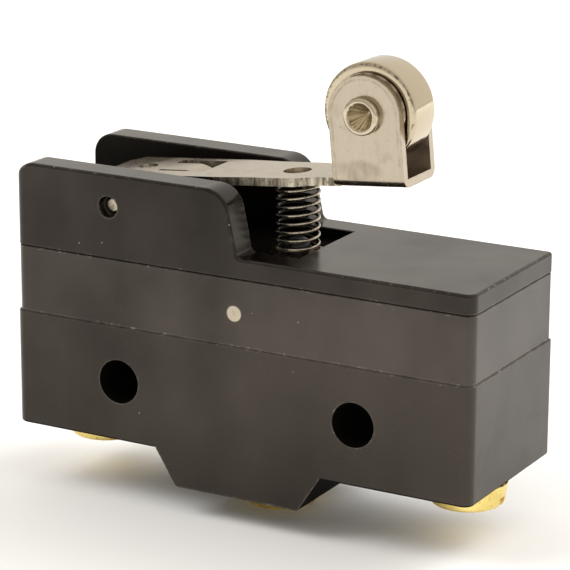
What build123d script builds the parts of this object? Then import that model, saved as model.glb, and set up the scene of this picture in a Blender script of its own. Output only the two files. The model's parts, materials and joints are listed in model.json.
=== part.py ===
from build123d import *
import os
from math import cos, radians, sin

# A limit switch with a short hinged roller lever, in millimetres. X runs along the switch towards the
# roller, Y across it with the front face at -Y, and Z up. The origin is midway between the two
# mounting holes, on the middle plane. The lever stands in its free position.

# Moulded body
hole_pitch = 25.4          # distance between the two mounting holes
mount_hole_r = 2.15
mount_hole_wall = 1.3      # moulding left round a mounting hole
body_length = 49.2
body_depth = 17.45
body_shift = 0.1           # the body's middle lies this far past the middle of the holes
base_bottom_z = -6.0
base_top_z = 5.55          # seam between base and cover
cover_top_z = 12.07        # seam between cover and lever bracket
plate_top_z = 14.05        # flat top beside the roller
ear_top_z = 20.35
lip = 0.15                 # the base stands this far proud of the cover all round
bracket_inset = 0.12       # the bracket is this much narrower than the base on each side
wall = 1.6                 # front and back
end_wall = 1.4
front_corner_r = 1.0
back_corner_r = 0.4
moulded_edge_r = 0.3       # outer edges of the mouldings
seam_edge_r = 0.15         # edges that meet at a seam
channel_edge_r = 0.2
ear_corner_r = 2.1
ear_slope_r = 2.5
ear_foot_r = 0.6
ear_slope_start = 3.1      # top of the ears' sloping end, before the spring's axis
ear_slope_end = 1.73       # foot of that slope

# Boss for the middle terminal, under the base
boss_shift = 0.3
boss_top_width = 17.8
boss_bottom_width = 13.3
boss_height = 3.5
boss_edge_r = 0.4

# Lever, pressed from sheet; lengths run from the hinge along the lever, heights square to it
lever_tilt = 5.6           # degrees above level in the free position
lever_sheet = 0.8
lever_half_width = 3.9
lever_waist = 3.6          # half width where the spring pushes
lever_neck = 2.65          # half width just before the roller fork
lever_shoulder = 0.8       # full width starts this far behind the hinge ears
wide_end = 9.0             # full width ends
waist_start = 12.5
waist_end = 17.3
neck_start = 19.4
lever_rise = 1.37          # underside of the sheet above the hinge
hinge_inset = 10.73        # hinge from the left end of the body
hinge_z = 17.15
hinge_pin_r = 0.8
hinge_pin_recess = 0.9
hinge_recess_r = 1.05
hinge_ear_r = 2.4
running_clearance = 0.05
lever_side_gap = 1.55      # each side, between the lever and the bracket's ears
tail_length = 5.2
tail_half_width = 2.5
tail_bend_r = 1.4
tail_gap = 0.05
spring_reach = 16.0        # along the lever to the spring

# Opening with a lanced tongue near the hinge, along and across the lever
window_start = 1.6
window_end = 6.7
window_front = -1.8
window_back = 3.0
tongue_end = 6.35
tongue_front = -1.35
tongue_back = 1.6
tongue_root = 0.4          # length of the tongue's root inside the sheet
tongue_droop_length = 1.9
tongue_droop = 0.9         # drop of its upper edge
tongue_tip_slope = 0.4
tongue_tip = 0.75          # its lower edge ends this far below the sheet
pip_reach = -0.6           # small round mark behind the tongue
pip_r = 1.0
pip_depth = 0.2
dimple_r = 1.35            # pressed boss that holds the top of the spring
dimple_depth = 0.45

# Roller fork, axle and roller
fork_start = 21.5
fork_end = 28.86
fork_outer = 3.15          # half width over the two cheeks
fork_bend_r = 1.0
fork_overlap = 0.4         # the sheet runs this far into the fork
fork_trim = 1.0            # blank left over the cheeks, cut away when their tops are rounded
axle_height = 8.15         # above the hinge, square to the lever
axle_r = 1.2
axle_head_r = 1.85
axle_head_length = 0.85
axle_cone_r = 1.4
axle_cone_depth = 1.3
roller_r = 4.75
roller_width = 4.0
roller_edge_r = 0.35
roller_hub_r = 3.7
roller_hub_step = 0.2

# Spring, seat and plunger
channel_floor_z = 13.0
pocket_past_spring = 3.05  # the sunk floor ends this far beyond the spring's axis
spring_outer_r = 2.2
spring_wire = 0.4
spring_turns = 7.5
coil_gap = 0.02            # between the coil and what it bears on
plunger_r = 1.25
plunger_dome = 0.9
plunger_top_z = 14.4
plunger_foot_r = 2.4
plunger_foot = 0.7
blade_gap = 0.03           # between the plunger's foot and the blade
seat_r = 2.7
seat_thickness = 0.5
seat_clearance = 0.2
seat_above_floor = 0.05

# Contacts and terminals
strip = 0.8                # thickness of the terminal strips
strip_half_width = 2.5
track_gap = 0.9            # each side, between the strips and the moulding beside them
screw_to_riser = 0.05      # between an outer screw and its terminal's upright
plate_half_x = 3.3
plate_half_y = 2.95
fit_gap = 0.05
riser_gap = 0.1            # between a terminal's upright and the end wall
middle_riser_inset = 0.3
hole_web = 0.8             # moulding between a mounting hole and the screw bore below it
well_web = 0.95            # moulding between an outer screw bore and the well above it
middle_well_height = 2.4   # floor of the middle well above the base's underside
middle_well_web = 1.4
screw_end_gap = 0.3        # between a screw's end and the bottom of its bore
shelf_margin = 0.3         # strip left beyond a contact
roof = 1.2
shelf_z = 4.2              # underside of the strips that carry the contacts
blade_z = 6.85
blade_thickness = 0.3
blade_half_width = 2.8
blade_window = 1.4
blade_left_margin = 1.2    # blade beyond its pivot
blade_right_margin = 0.4   # blade beyond the moving contact
window_gap = 1.0           # from the plunger's foot to the end of the blade's window
pivot_play = 0.2
tongue_play = 0.15         # between the bowed tongue and the post that it bears on
tongue_dip = 0.35
tongue_overlap = 0.2
contact_r = 1.5
contact_shank_r = 0.8
contact_head = 0.45
contact_gap = 0.75
contact_touch = 0.03
nc_shelf_z = 9.0
contact_inset = 3.2        # contacts from the inner face of the upright at the right end
anchor_inset = 7.5         # blade's pivot from the left inner wall
anchor_span = 10.4         # between the two uprights of the blade anchor
anchor_half_width = 1.15
anchor_foot = 0.4
anchor_top_z = 8.4
tongue_post_top_z = 7.0
tongue_bow = 1.1
rivet_r = 0.7
rivet_head_r = 0.95
rivet_head = 0.3
rivet_inset = 2.5          # rivets from the anchor's ends

# Terminal screws and washers
screw_r = 2.0
screw_head_top_r = 3.85
screw_head_bottom_r = 3.5
screw_head = 2.25
screw_head_edge_r = 0.45
screw_slot = 1.0
screw_slot_depth = 1.0
washer = 0.5
washer_r = 3.6
washer_teeth = 12
tooth_gap_depth = 0.9
tooth_gap_width = 0.7

# Pins between cover and bracket
cover_pin_r = 0.75
cover_pin_z = 8.71
tab = 1.4
tab_half_width = 2.0
tab_bottom_z = 7.3
peg_r = 1.0
peg_length = 1.2
peg_hole_extra = 0.2

# Places worked out from the sizes above
x_left = body_shift - body_length / 2
x_right = body_shift + body_length / 2
half_depth = body_depth / 2
cover_half = half_depth - lip
bracket_half = half_depth - bracket_inset
channel_half = lever_half_width + lever_side_gap
inner_left = x_left + end_wall
inner_right = x_right - end_wall
inner_half = cover_half - wall
block_near = hole_pitch / 2 - mount_hole_r - mount_hole_wall
block_far = hole_pitch / 2 + mount_hole_r + mount_hole_wall
track_half = strip_half_width + track_gap
screw_top_z = -mount_hole_r - hole_web
hinge_x = x_left + hinge_inset
tilt = radians(lever_tilt)
lever_top = lever_rise + lever_sheet
spring_x = hinge_x + spring_reach * cos(tilt) - lever_rise * sin(tilt)
axle_reach = (fork_start + fork_end) / 2
fork_round_r = (fork_end - fork_start) / 2
cheek_height = axle_height + fork_round_r + fork_trim - lever_rise
axle_x = hinge_x + axle_reach * cos(tilt) - axle_height * sin(tilt)
axle_z = hinge_z + axle_reach * sin(tilt) + axle_height * cos(tilt)
cheek_inner = fork_outer - lever_sheet
pocket_end = spring_x + pocket_past_spring
seat_top_z = channel_floor_z + seat_above_floor
terminal_inset = end_wall + riser_gap + strip + screw_r + screw_to_riser + boss_shift - body_shift
riser_left = inner_left + riser_gap
riser_right = inner_right - riser_gap - strip
contact_x = riser_right - contact_inset
anchor_x = inner_left + anchor_inset
blade_top_z = blade_z + blade_thickness
nc_face_z = blade_top_z + contact_head + contact_touch
no_face_z = blade_z - contact_head - contact_gap - contact_touch
anchor_end = anchor_x + anchor_span
rivet_xs = (anchor_x + rivet_inset, anchor_end - rivet_inset)
shelf_top_z = shelf_z + strip
well_floor_z = screw_top_z + well_web
boss_bottom_z = base_bottom_z - boss_height
middle_well_z = base_bottom_z + middle_well_height
middle_screw_top_z = middle_well_z - middle_well_web
middle_riser = boss_shift + plate_half_x - middle_riser_inset
terminals = (
    ("common", boss_shift - body_length / 2 + terminal_inset, base_bottom_z, screw_top_z),
    ("no", boss_shift, boss_bottom_z, middle_screw_top_z),
    ("nc", boss_shift + body_length / 2 - terminal_inset, base_bottom_z, screw_top_z),
)

along = (cos(tilt), 0, sin(tilt))
upward = (-sin(tilt), 0, cos(tilt))
hinge = (hinge_x, 0, hinge_z)
lever_plan = Plane(origin=hinge, x_dir=along, z_dir=upward)
lever_side = Plane(origin=hinge, x_dir=along, z_dir=(0, -1, 0))
lever_end = Plane(origin=hinge, x_dir=(0, 1, 0), z_dir=along)


def block(x0, x1, y0, y1, z0, z1, mode=Mode.ADD):
    """A box between two corners, added to or cut from the part being built."""
    with Locations(((x0 + x1) / 2, (y0 + y1) / 2, (z0 + z1) / 2)):
        Box(x1 - x0, y1 - y0, z1 - z0, mode=mode)


def round_bar(x, z, y0, y1, radius, mode=Mode.ADD):
    """A round bar or hole along Y."""
    with BuildSketch(Plane.XZ.offset(-y1)) as end:
        with Locations((x, z)):
            Circle(radius)
    extrude(end.sketch, amount=y1 - y0, mode=mode)


def post(x, y, z0, z1, radius, mode=Mode.ADD):
    """An upright round bar or hole."""
    with BuildSketch(Plane.XY.offset(z0)) as end:
        with Locations((x, y)):
            Circle(radius)
    extrude(end.sketch, amount=z1 - z0, mode=mode)


def moulding(x0, x1, half, z0, z1):
    """A moulded block, with larger upright corners in front than at the back."""
    with BuildSketch(Plane.XY.offset(z0)) as outline:
        with Locations(((x0 + x1) / 2, 0)):
            Rectangle(x1 - x0, 2 * half)
        fillet(outline.vertices().group_by(Axis.Y)[0], front_corner_r)
        fillet(outline.vertices().group_by(Axis.Y)[-1], back_corner_r)
    extrude(outline.sketch, amount=z1 - z0)


def save(piece, name):
    piece.part.label = name
    export_step(piece.part, f"parts/{name}.step")


os.makedirs("parts", exist_ok=True)

# Base housing: outer block with the middle boss, wells for the contacts, terminal seats and slots
with BuildPart() as base_housing:
    moulding(x_left, x_right, half_depth, base_bottom_z, base_top_z)
    fillet(base_housing.edges().group_by(Axis.Z)[-1], seam_edge_r)
    fillet(base_housing.edges().group_by(Axis.Z)[0], moulded_edge_r)
    with BuildSketch(Plane.XZ) as boss:
        with BuildLine():
            Polyline(
                (boss_shift - boss_top_width / 2, base_bottom_z + moulded_edge_r),
                (boss_shift - boss_top_width / 2, base_bottom_z),
                (boss_shift - boss_bottom_width / 2, boss_bottom_z),
                (boss_shift + boss_bottom_width / 2, boss_bottom_z),
                (boss_shift + boss_top_width / 2, base_bottom_z),
                (boss_shift + boss_top_width / 2, base_bottom_z + moulded_edge_r),
                close=True,
            )
        make_face()
        fillet(boss.vertices().group_by(Axis.Y)[0], boss_edge_r)
    extrude(amount=half_depth, both=True)
    block(inner_left, -block_far, -inner_half, inner_half, well_floor_z, base_top_z, Mode.SUBTRACT)
    block(-block_near, block_near, -inner_half, inner_half, middle_well_z, base_top_z, Mode.SUBTRACT)
    block(block_far, inner_right, -inner_half, inner_half, well_floor_z, base_top_z, Mode.SUBTRACT)
    block(inner_left, inner_right, -track_half, track_half, shelf_z, base_top_z, Mode.SUBTRACT)
    for hole_x in (-hole_pitch / 2, hole_pitch / 2):
        round_bar(hole_x, 0, -half_depth, half_depth, mount_hole_r, Mode.SUBTRACT)
        for peg_y in (-(track_half + inner_half) / 2, (track_half + inner_half) / 2):
            peg_bottom = base_top_z - peg_length - peg_hole_extra
            post(hole_x, peg_y, peg_bottom, base_top_z, peg_r + fit_gap, Mode.SUBTRACT)
    for name, x, z, top in terminals:
        post(x, 0, z, top, screw_r + 2 * fit_gap, Mode.SUBTRACT)
    seat_y = plate_half_y + fit_gap
    slot_y = strip_half_width + fit_gap
    common_x = terminals[0][1]
    nc_x = terminals[2][1]
    seat_top = base_bottom_z + strip
    block(riser_left - fit_gap, common_x + plate_half_x, -seat_y, seat_y, base_bottom_z, seat_top,
          Mode.SUBTRACT)
    block(nc_x - plate_half_x, riser_right + strip + fit_gap, -seat_y, seat_y, base_bottom_z, seat_top,
          Mode.SUBTRACT)
    block(boss_shift - plate_half_x, middle_riser + strip + fit_gap, -seat_y, seat_y, boss_bottom_z,
          boss_bottom_z + strip, Mode.SUBTRACT)
    for slot_x, low, high in (
        (riser_left, base_bottom_z, well_floor_z),
        (middle_riser, boss_bottom_z, middle_well_z),
        (riser_right, base_bottom_z, well_floor_z),
    ):
        block(slot_x - fit_gap, slot_x + strip + fit_gap, -slot_y, slot_y, low, high, Mode.SUBTRACT)
save(base_housing, "base_housing")

# Cover housing: closes the contacts, guides the plunger and is pegged into the base
with BuildPart() as cover_housing:
    moulding(x_left + lip, x_right - lip, cover_half, base_top_z, cover_top_z)
    fillet(cover_housing.edges().group_by(Axis.Z)[-1], seam_edge_r)
    ceiling_z = cover_top_z - roof
    block(inner_left, inner_right, -track_half, track_half, base_top_z, ceiling_z, Mode.SUBTRACT)
    for x0, x1 in ((inner_left, -block_far), (-block_near, block_near), (block_far, inner_right)):
        block(x0, x1, -inner_half, inner_half, base_top_z, ceiling_z, Mode.SUBTRACT)
    for peg_x in (-hole_pitch / 2, hole_pitch / 2):
        for peg_y in (-(track_half + inner_half) / 2, (track_half + inner_half) / 2):
            post(peg_x, peg_y, base_top_z - peg_length, base_top_z, peg_r)
    post(spring_x, 0, ceiling_z, cover_top_z, plunger_r + running_clearance, Mode.SUBTRACT)
    tab_outer = inner_half - fit_gap
    tab_x = tab_half_width + fit_gap
    for side in (-1, 1):
        tab_edges = sorted((side * (tab_outer - tab - fit_gap), side * inner_half))
        block(-tab_x, tab_x, *tab_edges, ceiling_z, cover_top_z, Mode.SUBTRACT)
    round_bar(0, cover_pin_z, -cover_half, cover_half, cover_pin_r, Mode.SUBTRACT)
save(cover_housing, "cover_housing")

# Lever bracket: the top moulding, with two ears that carry the hinge pin and a channel between them
ear_slope_top_x = spring_x - ear_slope_start
ear_foot_x = spring_x - ear_slope_end
with BuildPart() as lever_bracket:
    moulding(x_left + bracket_inset, x_right - bracket_inset, bracket_half, cover_top_z, ear_top_z)
    with BuildSketch(Plane.XZ) as profile:
        with BuildLine():
            Polyline(
                (x_left + bracket_inset, cover_top_z),
                (x_left + bracket_inset, ear_top_z),
                (ear_slope_top_x, ear_top_z),
                (ear_foot_x, plate_top_z),
                (x_right, plate_top_z),
                (x_right, cover_top_z),
                close=True,
            )
        make_face()
        fillet(profile.vertices().group_by(Axis.Y)[-1].sort_by(Axis.X)[-1:], ear_slope_r)
        fillet(profile.vertices().group_by(Axis.Y)[-1].sort_by(Axis.X)[:1], ear_corner_r)
        fillet(profile.vertices().group_by(Axis.Y)[1].sort_by(Axis.X)[:1], ear_foot_r)
    extrude(amount=half_depth, both=True, mode=Mode.INTERSECT)
    fillet(lever_bracket.edges().group_by(Axis.Z)[0], seam_edge_r)
    # the rim runs smoothly over both ears and round the plate, so one edge of it takes the whole
    fillet(lever_bracket.edges().filter_by(Axis.X).group_by(Axis.Z)[-1], moulded_edge_r)
    block(x_left, pocket_end, -channel_half, channel_half, channel_floor_z, ear_top_z, Mode.SUBTRACT)
    channel_rims = lever_bracket.edges().filter_by(Axis.X).group_by(Axis.Z)[-1]
    channel_rims = channel_rims.sort_by(lambda edge: abs(edge.center().Y))[:2]
    pocket_rim = lever_bracket.edges().sort_by_distance((pocket_end, 0, plate_top_z))[:1]
    fillet(channel_rims + pocket_rim, channel_edge_r)
    post(spring_x, 0, cover_top_z, channel_floor_z, seat_r + seat_clearance, Mode.SUBTRACT)
    for side in (-1, 1):
        tab_edges = sorted((side * (tab_outer - tab), side * tab_outer))
        block(-tab_half_width, tab_half_width, *tab_edges, tab_bottom_z, cover_top_z)
        ear_edges = sorted((side * (bracket_half - hinge_pin_recess), side * bracket_half))
        round_bar(hinge_x, hinge_z, *ear_edges, hinge_recess_r, Mode.SUBTRACT)
    round_bar(hinge_x, hinge_z, -bracket_half, bracket_half, hinge_pin_r, Mode.SUBTRACT)
    round_bar(0, cover_pin_z, -bracket_half, bracket_half, cover_pin_r, Mode.SUBTRACT)
save(lever_bracket, "lever_bracket")

# Pins that hold the bracket's tabs to the cover, their outer ends flush with its faces
for name, side in (("front_cover_pin", -1), ("back_cover_pin", 1)):
    with BuildPart() as cover_pin:
        pin_edges = sorted((side * (tab_outer - tab), side * cover_half))
        round_bar(0, cover_pin_z, *pin_edges, cover_pin_r)
    save(cover_pin, name)

# Hinge pin, pressed through both ears
with BuildPart() as hinge_pin:
    pin_end = bracket_half - hinge_pin_recess
    round_bar(hinge_x, hinge_z, -pin_end, pin_end, hinge_pin_r)
save(hinge_pin, "hinge_pin")

# Lever: a pressed blank with hinge ears, a stop tail, a spring dimple and the roller fork
with BuildPart() as lever:
    with BuildSketch(lever_plan.offset(lever_rise)):
        with BuildLine():
            outline = Polyline(
                (-tail_length + tail_bend_r, 0),
                (-tail_length + tail_bend_r, tail_half_width),
                (-hinge_ear_r - lever_shoulder, lever_half_width),
                (wide_end, lever_half_width),
                (waist_start, lever_waist),
                (waist_end, lever_waist),
                (neck_start, lever_neck),
                (fork_start + fork_overlap, lever_neck),
                (fork_start + fork_overlap, 0),
            )
            mirror(outline, about=Plane.XZ)
        make_face()
    extrude(amount=lever_sheet)
    # fork: a channel whose cheeks stand up on each side of the roller, with rounded tops
    with BuildSketch(lever_end.offset(fork_start)):
        with Locations((0, lever_rise)):
            outer = Rectangle(2 * fork_outer, cheek_height, align=(Align.CENTER, Align.MIN))
        fillet(outer.vertices().group_by(Axis.Y)[0], fork_bend_r)
        with Locations((0, lever_top)):
            Rectangle(2 * cheek_inner, cheek_height, align=(Align.CENTER, Align.MIN), mode=Mode.SUBTRACT)
    extrude(amount=fork_end - fork_start)
    with BuildSketch(lever_side):
        with Locations((axle_reach, axle_height)):
            Rectangle(2 * (fork_round_r + fork_trim), fork_round_r + 2 * fork_trim,
                      align=(Align.CENTER, Align.MIN))
            Circle(fork_round_r, mode=Mode.SUBTRACT)
    extrude(amount=fork_outer, both=True, mode=Mode.SUBTRACT)
    with BuildSketch(lever_side):
        with Locations((axle_reach, axle_height)):
            Circle(axle_r)
    extrude(amount=fork_outer, both=True, mode=Mode.SUBTRACT)
    # hinge ears on both sides, turned down round the pin
    for ear_start in (-lever_half_width, lever_half_width - lever_sheet):
        with BuildSketch(lever_side.offset(ear_start)):
            Circle(hinge_ear_r)
            Rectangle(2 * hinge_ear_r, lever_top, align=(Align.CENTER, Align.MIN))
            with Locations((0, lever_top)):
                Rectangle(2 * hinge_ear_r, hinge_ear_r, align=(Align.CENTER, Align.MIN), mode=Mode.SUBTRACT)
            Circle(hinge_pin_r + running_clearance, mode=Mode.SUBTRACT)
        extrude(amount=lever_sheet)
    # tail, bent down to rest on the channel's floor
    tail_drop = (hinge_z - channel_floor_z - tail_gap - tail_length * sin(tilt)) / cos(tilt)
    with BuildSketch(lever_side):
        with BuildLine():
            leg_middle = -tail_length + lever_sheet / 2
            sheet_middle = lever_rise + lever_sheet / 2
            FilletPolyline(
                (-tail_length + 2 * tail_bend_r, sheet_middle),
                (leg_middle, sheet_middle),
                (leg_middle, -tail_drop),
                radius=tail_bend_r - lever_sheet / 2,
            )
        trace(line_width=lever_sheet)
    extrude(amount=tail_half_width, both=True)
    # window with its lanced tongue, whose free end droops
    with BuildSketch(lever_plan.offset(lever_rise)):
        with BuildLine():
            Polyline(
                (window_start, window_front),
                (window_end, window_front),
                (window_end, window_back),
                (window_start, window_back),
                close=True,
            )
        make_face()
    extrude(amount=lever_sheet, mode=Mode.SUBTRACT)
    with BuildSketch(lever_side.offset(-tongue_back)):
        with BuildLine():
            root = window_start - tongue_root
            flat_end = tongue_end - tongue_droop_length
            droop_r = 2 * tongue_droop_length
            top_edge = Line((root, lever_top), (flat_end, lever_top))
            top_curve = RadiusArc(top_edge @ 1, (tongue_end, lever_top - tongue_droop), droop_r)
            tip = Line(top_curve @ 1, (tongue_end - tongue_tip_slope, lever_rise - tongue_tip))
            RadiusArc(tip @ 1, (flat_end, lever_rise), -droop_r)
            Polyline((flat_end, lever_rise), (root, lever_rise), (root, lever_top))
        make_face()
    extrude(amount=tongue_back - tongue_front)
    # spring dimple and the small round mark
    with BuildSketch(lever_plan.offset(lever_top - dimple_depth)):
        with Locations((spring_reach, 0)):
            Circle(dimple_r)
    extrude(amount=dimple_depth, mode=Mode.SUBTRACT)
    with BuildSketch(lever_plan.offset(lever_rise - dimple_depth)):
        with Locations((spring_reach, 0)):
            Circle(dimple_r)
    extrude(amount=dimple_depth)
    with BuildSketch(lever_plan.offset(lever_top - pip_depth)):
        with Locations((pip_reach, 0)):
            Circle(pip_r)
    extrude(amount=pip_depth, mode=Mode.SUBTRACT)
save(lever, "lever")

# Roller axle: a rivet with hollow, flared ends outside the fork's cheeks
with BuildPart() as roller_axle:
    head_end = fork_outer + axle_head_length
    round_bar(axle_x, axle_z, -fork_outer, fork_outer, axle_r)
    round_bar(axle_x, axle_z, -head_end, -fork_outer, axle_head_r)
    round_bar(axle_x, axle_z, fork_outer, head_end, axle_head_r)
    for side in (-1, 1):
        with BuildSketch(Plane.XZ.offset(side * head_end)):
            with Locations((axle_x, axle_z)):
                Circle(axle_cone_r)
        extrude(amount=-side * axle_cone_depth, taper=45, mode=Mode.SUBTRACT)
save(roller_axle, "roller_axle")

# Roller: a steel wheel with rounded rims and a slightly raised hub on each face
with BuildPart() as roller:
    round_bar(axle_x, axle_z, -roller_width / 2, roller_width / 2, roller_r)
    rims = roller.edges().filter_by(GeomType.CIRCLE)
    fillet(rims, roller_edge_r)
    hub_end = roller_width / 2 + roller_hub_step
    round_bar(axle_x, axle_z, -hub_end, hub_end, roller_hub_r)
    round_bar(axle_x, axle_z, -hub_end, hub_end, axle_r + running_clearance, Mode.SUBTRACT)
save(roller, "roller")

# Return spring, between its seat and the lever
spring_mean_r = spring_outer_r - spring_wire / 2
spring_low_z = seat_top_z + spring_wire / 2 + coil_gap
under_lever_z = hinge_z + spring_reach * sin(tilt) + lever_rise * cos(tilt)
spring_high_z = under_lever_z - spring_outer_r * sin(tilt) - spring_wire / 2 - coil_gap
with BuildPart() as return_spring:
    with BuildLine(Plane(origin=(spring_x, 0, spring_low_z))):
        coil = Helix(
            pitch=(spring_high_z - spring_low_z) / spring_turns,
            height=spring_high_z - spring_low_z,
            radius=spring_mean_r,
        )
    with BuildSketch(Plane(origin=coil @ 0, z_dir=coil % 0)):
        Circle(spring_wire / 2)
    sweep(path=coil, is_frenet=True)
save(return_spring, "return_spring")

# Spring seat: a ring pressed on the plunger's stem, under the spring
with BuildPart() as spring_seat:
    post(spring_x, 0, seat_top_z - seat_thickness, seat_top_z, seat_r)
    post(spring_x, 0, seat_top_z - seat_thickness, seat_top_z, plunger_r, Mode.SUBTRACT)
save(spring_seat, "spring_seat")

# Plunger: domed stem through the cover, with a wide foot on the snap blade
with BuildPart() as plunger:
    foot_z = blade_top_z + blade_gap
    post(spring_x, 0, foot_z, foot_z + plunger_foot, plunger_foot_r)
    post(spring_x, 0, foot_z + plunger_foot, plunger_top_z, plunger_r)
    crown = plunger.edges().filter_by(GeomType.CIRCLE).sort_by(Axis.Z)[-1:]
    fillet(crown, plunger_dome)
save(plunger, "plunger")

# Terminal strips, each a threaded plate outside, an upright and a shelf that carries a contact
with BuildPart() as common_terminal:
    plate_left = riser_left
    plate_right = common_x + plate_half_x - fit_gap
    shelf_end = anchor_end + strip
    block(plate_left, plate_right, -plate_half_y, plate_half_y, base_bottom_z, seat_top)
    block(riser_left, riser_left + strip, -strip_half_width, strip_half_width, base_bottom_z, shelf_top_z)
    block(riser_left, shelf_end, -strip_half_width, strip_half_width, shelf_z, shelf_top_z)
    post(common_x, 0, base_bottom_z, seat_top, screw_r, Mode.SUBTRACT)
    for rivet_x in rivet_xs:
        post(rivet_x, 0, shelf_z, shelf_top_z, rivet_r, Mode.SUBTRACT)
save(common_terminal, "common_terminal")

with BuildPart() as no_terminal:
    plate_left = boss_shift - plate_half_x + fit_gap
    plate_z = boss_bottom_z + strip
    block(plate_left, middle_riser + strip, -plate_half_y, plate_half_y, boss_bottom_z, plate_z)
    block(middle_riser, middle_riser + strip, -strip_half_width, strip_half_width, boss_bottom_z,
          shelf_top_z)
    block(middle_riser, contact_x + contact_r, -strip_half_width, strip_half_width, shelf_z, shelf_top_z)
    post(boss_shift, 0, boss_bottom_z, plate_z, screw_r, Mode.SUBTRACT)
    post(contact_x, 0, shelf_z, shelf_top_z, contact_shank_r, Mode.SUBTRACT)
save(no_terminal, "no_terminal")

with BuildPart() as nc_terminal:
    plate_left = nc_x - plate_half_x + fit_gap
    riser_end = riser_right + strip
    nc_shelf_top = nc_shelf_z + strip
    block(plate_left, riser_end, -plate_half_y, plate_half_y, base_bottom_z, seat_top)
    block(riser_right, riser_end, -strip_half_width, strip_half_width, base_bottom_z, nc_shelf_top)
    block(contact_x - contact_r - shelf_margin, riser_end, -strip_half_width, strip_half_width, nc_shelf_z,
          nc_shelf_top)
    post(nc_x, 0, base_bottom_z, seat_top, screw_r, Mode.SUBTRACT)
    post(contact_x, 0, nc_shelf_z, nc_shelf_top, contact_shank_r, Mode.SUBTRACT)
save(nc_terminal, "nc_terminal")

# Fixed contacts, silver rivets in the two shelves
with BuildPart() as no_contact:
    post(contact_x, 0, shelf_top_z, no_face_z, contact_r)
    post(contact_x, 0, shelf_z, shelf_top_z, contact_shank_r)
save(no_contact, "no_contact")

with BuildPart() as nc_contact:
    post(contact_x, 0, nc_face_z, nc_shelf_z, contact_r)
    post(contact_x, 0, nc_shelf_z, nc_shelf_top, contact_shank_r)
save(nc_contact, "nc_contact")

# Blade anchor: a strip with two uprights, riveted to the common shelf
with BuildPart() as blade_anchor:
    foot_top = shelf_top_z + anchor_foot
    block(anchor_x, anchor_end, -anchor_half_width, anchor_half_width, shelf_top_z, foot_top)
    block(anchor_x, anchor_x + strip, -anchor_half_width, anchor_half_width, shelf_top_z, anchor_top_z)
    block(anchor_end - strip, anchor_end, -anchor_half_width, anchor_half_width, shelf_top_z,
          tongue_post_top_z)
    for rivet_x in rivet_xs:
        post(rivet_x, 0, shelf_top_z, foot_top, rivet_r, Mode.SUBTRACT)
save(blade_anchor, "blade_anchor")

for name, rivet_x in zip(("anchor_rivet_left", "anchor_rivet_right"), rivet_xs):
    with BuildPart() as anchor_rivet:
        post(rivet_x, 0, shelf_z, foot_top, rivet_r)
        post(rivet_x, 0, foot_top, foot_top + rivet_head, rivet_head_r)
    save(anchor_rivet, name)

# Snap blade: two side legs and a bowed middle tongue that bears on the anchor's second upright
with BuildPart() as snap_blade:
    blade_left = anchor_x - blade_left_margin
    blade_right = contact_x + contact_r + blade_right_margin
    window_left = anchor_x - pivot_play
    window_right = spring_x + plunger_foot_r + window_gap
    bow_start = anchor_end + tongue_play
    bow_end = window_right + tongue_overlap
    block(blade_left, blade_right, -blade_half_width, blade_half_width, blade_z, blade_top_z)
    block(window_left, window_right, -blade_window, blade_window, blade_z, blade_top_z, Mode.SUBTRACT)
    with BuildSketch(Plane.XZ):
        with BuildLine():
            low_z = blade_z - tongue_dip
            middle_x = (bow_start + window_right) / 2
            upper = ThreePointArc(
                (bow_start, low_z + blade_thickness),
                (middle_x, blade_top_z - tongue_bow),
                (bow_end, blade_top_z),
            )
            edge = Line(upper @ 1, (bow_end, blade_z))
            lower = ThreePointArc(edge @ 1, (middle_x, blade_z - tongue_bow), (bow_start, low_z))
            Line(lower @ 1, upper @ 0)
        make_face()
    extrude(amount=anchor_half_width, both=True)
    post(contact_x, 0, blade_z, blade_top_z, contact_shank_r, Mode.SUBTRACT)
save(snap_blade, "snap_blade")

# Moving contact, a silver rivet through the blade's end
with BuildPart() as moving_contact:
    post(contact_x, 0, blade_z - contact_head, blade_z, contact_r)
    post(contact_x, 0, blade_z, blade_top_z, contact_shank_r)
    post(contact_x, 0, blade_top_z, blade_top_z + contact_head, contact_r)
save(moving_contact, "moving_contact")

# Terminal screws with slotted, slightly tapered heads, and their toothed washers
for name, x, z, top in terminals:
    head_z = z - washer - screw_head
    with BuildPart() as washer_ring:
        with BuildSketch(Plane.XY.offset(z - washer)):
            with Locations((x, 0)):
                Circle(washer_r)
                Circle(screw_r + 2 * fit_gap, mode=Mode.SUBTRACT)
                with PolarLocations(washer_r, washer_teeth):
                    Rectangle(tooth_gap_depth, tooth_gap_width, mode=Mode.SUBTRACT)
        extrude(amount=washer)
    save(washer_ring, f"{name}_washer")
    with BuildPart() as screw:
        with BuildSketch(Plane.XY.offset(head_z)):
            with Locations((x, 0)):
                Circle(screw_head_bottom_r)
        with BuildSketch(Plane.XY.offset(z - washer)):
            with Locations((x, 0)):
                Circle(screw_head_top_r)
        loft()
        head_edge = screw.edges().filter_by(GeomType.CIRCLE).sort_by(Axis.Z)[:1]
        fillet(head_edge, screw_head_edge_r)
        post(x, 0, z - washer, top - screw_end_gap, screw_r)
        block(x - screw_head_top_r, x + screw_head_top_r, -screw_slot / 2, screw_slot / 2, head_z,
              head_z + screw_slot_depth, Mode.SUBTRACT)
    save(screw, f"{name}_screw")
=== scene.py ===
import json
from math import cos, pi, radians, sin, tan

import bmesh
import bpy
from mathutils import Matrix, Vector, noise


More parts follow.
